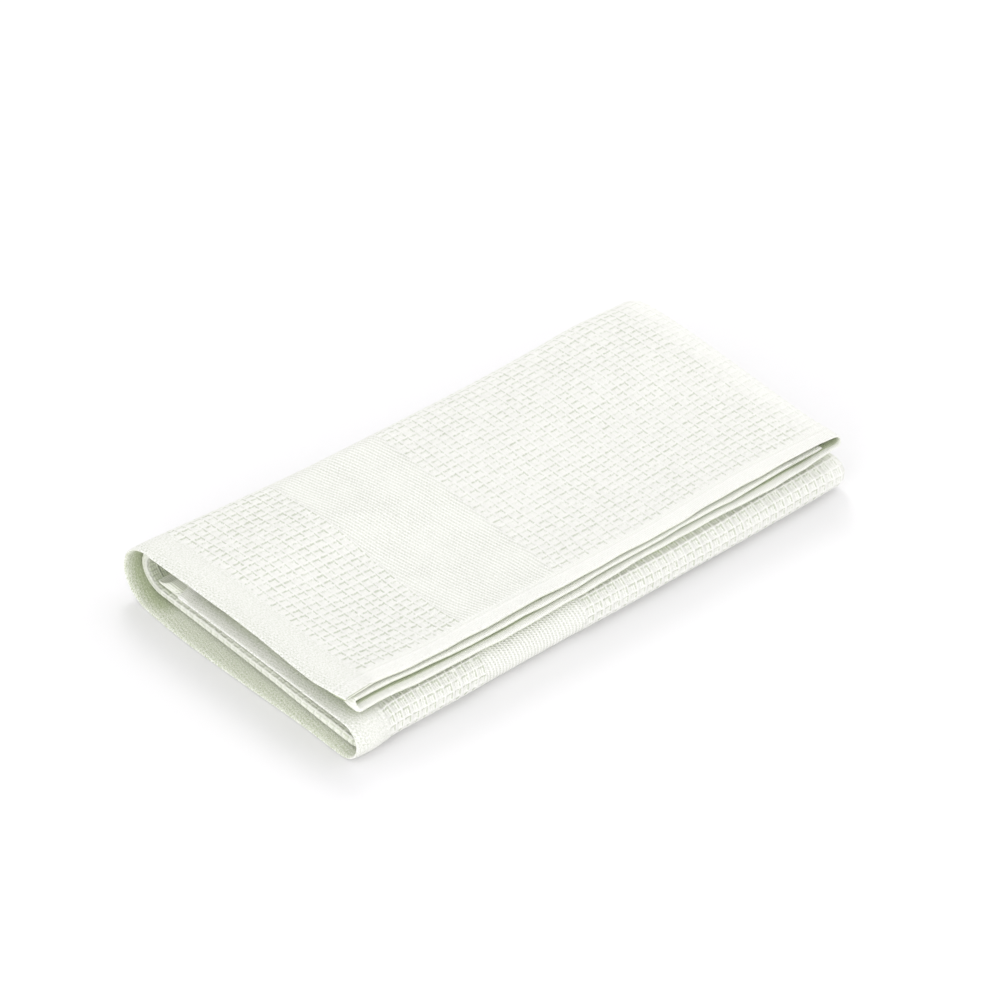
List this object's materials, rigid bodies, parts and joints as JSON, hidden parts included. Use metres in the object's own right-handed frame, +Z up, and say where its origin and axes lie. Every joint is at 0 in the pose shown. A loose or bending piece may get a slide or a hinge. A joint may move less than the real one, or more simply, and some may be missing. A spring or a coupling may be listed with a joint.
{
  "type": "folded waffle-weave bath towel",
  "caption": "Bath towel in pale waffle weave with a plain woven band and plain hems, folded in thirds both ways into a flat oblong that rests on a surface.",
  "frame": {"origin": "centre of the folded towel's bounding box, on the plane of its resting face", "axes": "+X along the folded length from the open hem end to the outer end fold, +Y across the width towards the large outer fold, +Z up"},
  "size_m": [0.472, 0.2544, 0.0515],
  "materials": {
    "cloth": "matt ivory-white cotton, waffle weave with a twill band and ribbed plain edges"
  },
  "bodies": {
    "root": {"towel": "cloth"}
  },
  "joints": []
}
